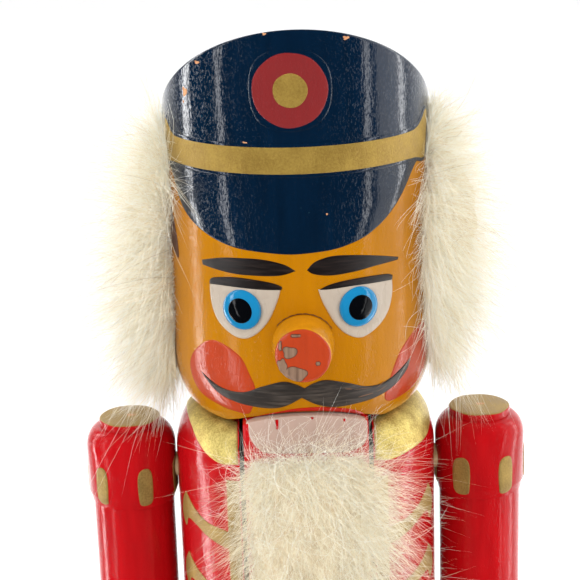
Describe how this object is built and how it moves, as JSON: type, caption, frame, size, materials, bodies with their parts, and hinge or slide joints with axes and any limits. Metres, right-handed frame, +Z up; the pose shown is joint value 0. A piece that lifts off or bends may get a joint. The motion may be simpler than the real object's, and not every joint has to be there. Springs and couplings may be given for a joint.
{
  "type": "nutcracker figure",
  "caption": "Turned wooden soldier nutcracker with a slanted cap, fur hair and beard, and a jaw lever that pivots through the trunk and hangs down the back as a handle.",
  "frame": {"origin": "centre of the underside of the plinth, below the turning axis of the head and trunk", "axes": "+Z up, -Y is the way the figure faces, +X is the figure's own left"},
  "size_m": [0.1084, 0.0926, 0.3359],
  "materials": {
    "red_enamel": "glossy red enamel on turned wood, gold painted trim",
    "face_enamel": "glossy yellow-ochre enamel on turned wood, navy painted cap",
    "nose_enamel": "glossy ochre and red-orange enamel, chipped",
    "eye_button_gloss": "high gloss blue with a black pupil",
    "skin_enamel": "glossy skin-coloured enamel on wood",
    "boot_and_trouser_enamel": "glossy black and navy enamel on turned wood",
    "varnished_wood": "clear varnish over beech",
    "dowel_wood": "raw wood",
    "screw_steel": "plain steel",
    "white_fur": "soft long-haired cream fur on hide"
  },
  "bodies": {
    "figure": {"base_plinth": "varnished_wood", "base_screw_left": "screw_steel", "base_screw_right": "screw_steel", "leg_left": "boot_and_trouser_enamel", "leg_right": "boot_and_trouser_enamel", "boot_toe_left": "boot_and_trouser_enamel", "boot_toe_right": "boot_and_trouser_enamel", "leg_dowel_left": "dowel_wood", "leg_dowel_right": "dowel_wood", "torso": "red_enamel", "pivot_pin": "screw_steel", "head": "face_enamel", "neck_dowel": "dowel_wood", "nose_plug": "nose_enamel", "eye_button_left": "eye_button_gloss", "eye_button_right": "eye_button_gloss", "hair_fur": "white_fur", "arm_left": "red_enamel", "arm_right": "red_enamel", "arm_dowel_left": "dowel_wood", "arm_dowel_right": "dowel_wood", "hand_left": "skin_enamel", "hand_right": "skin_enamel"},
    "lever": {"jaw_lever": "red_enamel", "beard_fur": "white_fur"}
  },
  "joints": [
    {"name": "jaw_pivot", "type": "hinge", "parent": "figure", "child": "lever", "pos_m": [0, 0.012, 0.212], "axis": [1, 0, 0], "range_deg": [0, 20]}
  ]
}
